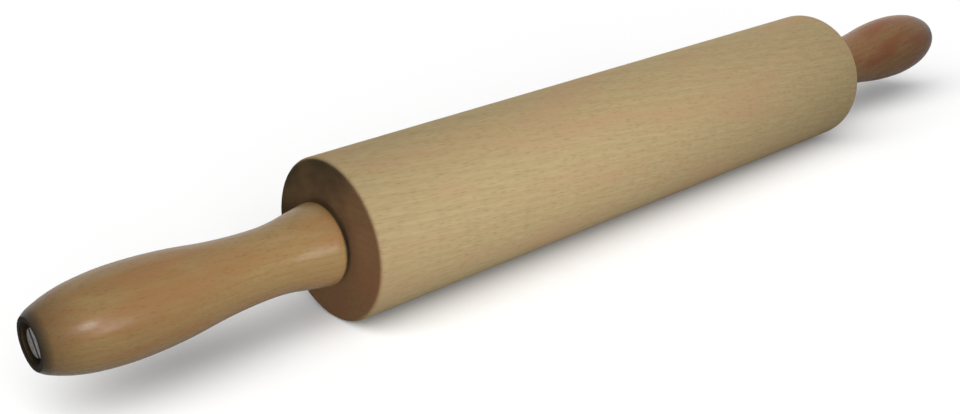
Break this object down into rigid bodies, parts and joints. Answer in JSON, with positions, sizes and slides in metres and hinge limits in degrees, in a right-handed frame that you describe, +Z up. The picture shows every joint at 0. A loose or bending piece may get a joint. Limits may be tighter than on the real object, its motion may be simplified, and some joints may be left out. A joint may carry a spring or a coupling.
{
  "type": "rolling pin",
  "caption": "Wooden rolling pin: a straight beech roller that turns on a steel axle between turned, lacquered handles.",
  "frame": {"origin": "on the axle, at the middle of the roller's length", "axes": "+X along the axle to the right handle, +Z up, +Y away from a person who stands at the -Y side; the pin rests on the roller at z = -30 mm"},
  "size_m": [0.506, 0.06, 0.06],
  "materials": {
    "beech": "bare, sanded, fine pores along the length",
    "lacquered_beech": "clear gloss lacquer over turned beech",
    "nylon": "moulded, matt",
    "axle_steel": "drawn, satin",
    "plated_steel": "zinc plated, satin"
  },
  "bodies": {
    "axle": {"axle_rod": "axle_steel", "left_thrust_washer": "axle_steel", "right_thrust_washer": "axle_steel", "left_end_washer": "plated_steel", "right_end_washer": "plated_steel", "left_end_screw": "plated_steel", "right_end_screw": "plated_steel"},
    "roller": {"roller": "beech", "left_roller_bush": "nylon", "right_roller_bush": "nylon"},
    "left_handle": {"left_handle": "lacquered_beech"},
    "right_handle": {"right_handle": "lacquered_beech"}
  },
  "joints": [
    {"name": "roller_spin", "type": "hinge", "parent": "axle", "child": "roller", "pos_m": [0, 0, 0], "axis": [1, 0, 0], "continuous": true},
    {"name": "left_handle_spin", "type": "hinge", "parent": "axle", "child": "left_handle", "pos_m": [-0.1995, 0, 0], "axis": [1, 0, 0], "continuous": true},
    {"name": "right_handle_spin", "type": "hinge", "parent": "axle", "child": "right_handle", "pos_m": [0.1995, 0, 0], "axis": [1, 0, 0], "continuous": true}
  ]
}
